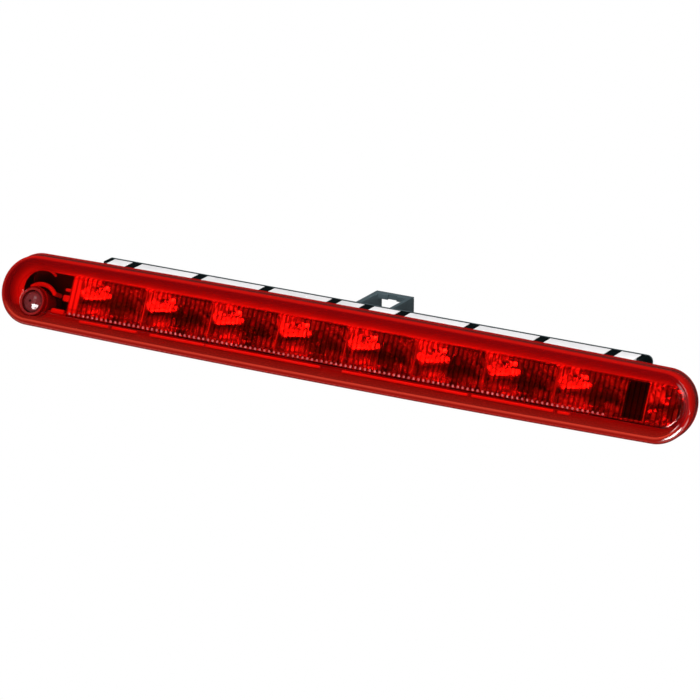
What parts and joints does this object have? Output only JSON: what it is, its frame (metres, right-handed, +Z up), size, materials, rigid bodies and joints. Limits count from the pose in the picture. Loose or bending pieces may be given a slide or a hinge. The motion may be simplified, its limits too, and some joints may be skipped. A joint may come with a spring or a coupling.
{
  "type": "third brake light",
  "caption": "Long red high-level brake lamp: raked lens with round ends on a reflector tray, dark rear housing with a catch loop and a tilting washer jet.",
  "frame": {"origin": "middle of the housing's flat rear wall", "axes": "-Y towards the following driver, +Y into the car body, +X to the right-hand end as that driver sees the lamp, +Z up"},
  "size_m": [0.381, 0.0545, 0.0344],
  "materials": {
    "red_lens": "polished",
    "clear_optic": "fluted",
    "white_plastic": "moulded, metallised inside the cells",
    "slate_plastic": "satin moulded",
    "black_plastic": "satin moulded",
    "jet_plastic": "polished",
    "board_laminate": "solder resist",
    "led_epoxy": "polished",
    "resistor_coating": "glazed",
    "tinned_metal": "tinned",
    "screw_steel": "zinc plated",
    "seal_rubber": "matt"
  },
  "bodies": {
    "lamp": {"outer_lens": "red_lens", "inner_optic": "clear_optic", "lens_seal": "seal_rubber", "reflector_tray": "white_plastic", "end_shade": "black_plastic", "housing": "slate_plastic", "end_cap": "slate_plastic", "circuit_board": "board_laminate", "end_board": "board_laminate", "led_1": "led_epoxy", "led_2": "led_epoxy", "led_3": "led_epoxy", "led_4": "led_epoxy", "led_5": "led_epoxy", "led_6": "led_epoxy", "led_7": "led_epoxy", "led_8": "led_epoxy", "led_9": "led_epoxy", "resistor_1": "resistor_coating", "resistor_2": "resistor_coating", "resistor_3": "resistor_coating", "resistor_4": "resistor_coating", "diode_1": "black_plastic", "housing_screw_1": "screw_steel", "housing_screw_2": "screw_steel", "housing_screw_3": "screw_steel", "housing_screw_4": "screw_steel", "board_screw_1": "screw_steel", "board_screw_2": "screw_steel", "connector_socket": "black_plastic", "terminal_1": "tinned_metal", "terminal_2": "tinned_metal", "socket_seal": "seal_rubber", "jet_holder": "black_plastic", "jet_seal": "seal_rubber", "jet_pipe": "black_plastic"},
    "jet": {"jet_ball": "jet_plastic"}
  },
  "joints": [
    {"name": "jet_tilt", "type": "hinge", "parent": "lamp", "child": "jet", "pos_m": [-0.1705, -0.02499, -0.00571], "axis": [1, 0, 0], "range_deg": [-12, 12]}
  ]
}
